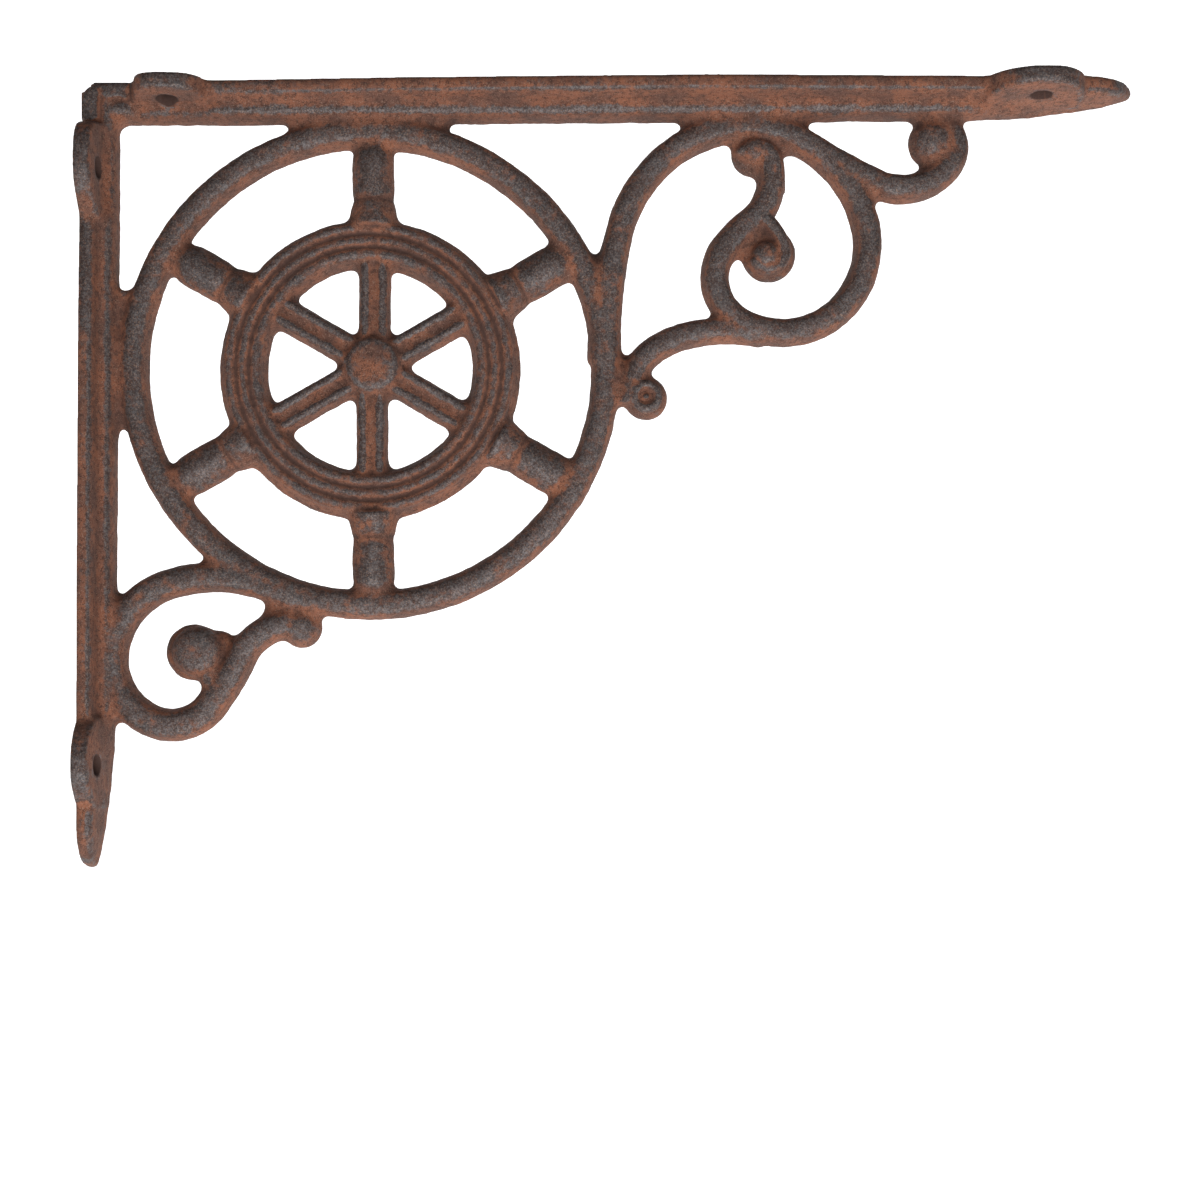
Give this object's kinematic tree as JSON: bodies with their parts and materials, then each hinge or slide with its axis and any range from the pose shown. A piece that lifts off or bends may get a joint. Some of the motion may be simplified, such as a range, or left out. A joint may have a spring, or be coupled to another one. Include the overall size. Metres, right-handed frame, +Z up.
{
  "type": "shelf bracket",
  "caption": "Ornate cast iron shelf bracket: two straps at a right angle, filled by a ring with a ship's wheel and scrolls, with screw ears on both arms.",
  "frame": {"origin": "on the wall arm's mounting face, half way between its two screws and in the middle of the strap's depth", "axes": "+X out from the wall along the shelf arm, +Z up to the shelf, and the carved front faces -Y"},
  "size_m": [0.2915, 0.025, 0.2175],
  "materials": {
    "cast_iron": "unpainted sand casting, rust brown in the recesses and worn dark grey on the ridges"
  },
  "bodies": {
    "root": {"bracket_casting": "cast_iron"}
  },
  "joints": []
}
